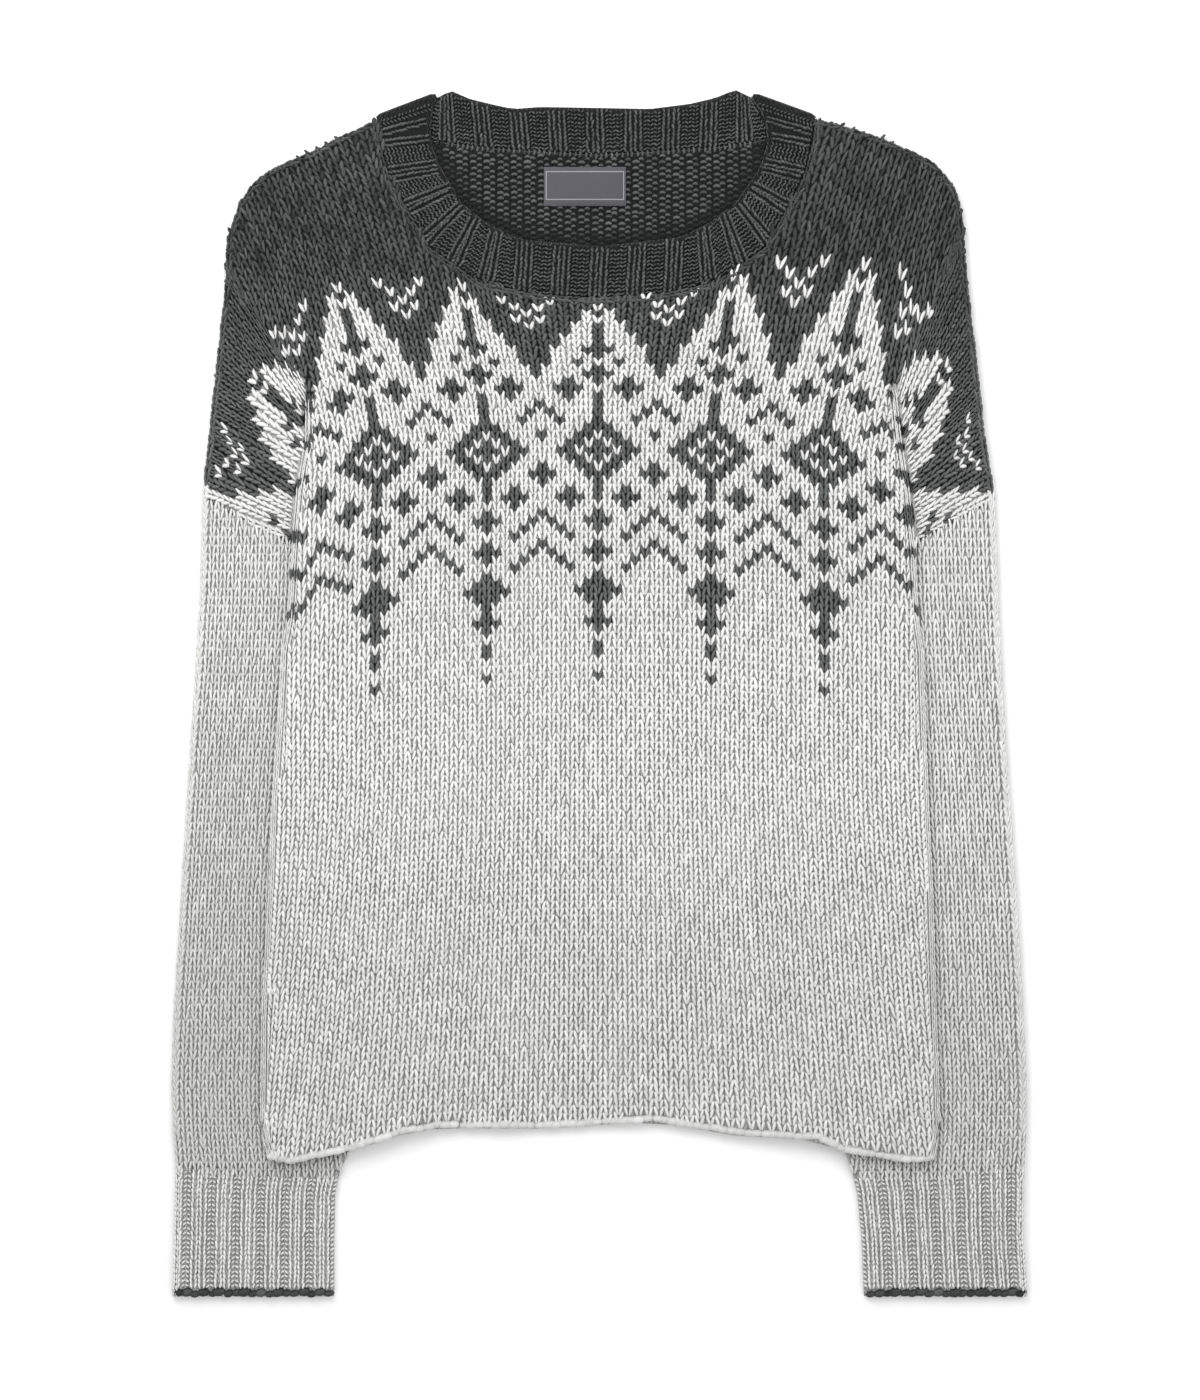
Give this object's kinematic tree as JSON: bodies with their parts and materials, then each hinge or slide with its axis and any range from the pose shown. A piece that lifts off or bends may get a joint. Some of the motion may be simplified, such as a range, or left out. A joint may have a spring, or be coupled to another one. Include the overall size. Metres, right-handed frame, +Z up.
{
  "type": "crew-neck knit pullover, laid flat",
  "caption": "Heavy-knit crew-neck pullover laid flat, with drop shoulders, long sleeves, ribbed neckband and cuffs and a patterned yoke.",
  "frame": {"origin": "middle of the garment's outline, on the surface it lies on", "axes": "+Y from the hem towards the neck, +X towards the wearer's left, +Z up from the surface through back and front"},
  "size_m": [0.5, 0.7049, 0.0142],
  "materials": {
    "light_yarn": "soft brushed knit, pale grey, slightly hairy",
    "dark_yarn": "soft brushed knit, charcoal grey",
    "label_weave": "smooth woven ribbon, grey-violet"
  },
  "bodies": {
    "root": {"front": "light_yarn", "back": "light_yarn", "sleeve_right": "light_yarn", "sleeve_left": "light_yarn", "cuff_right": "light_yarn", "cuff_left": "light_yarn", "neckband": "dark_yarn", "label": "label_weave"}
  },
  "joints": []
}
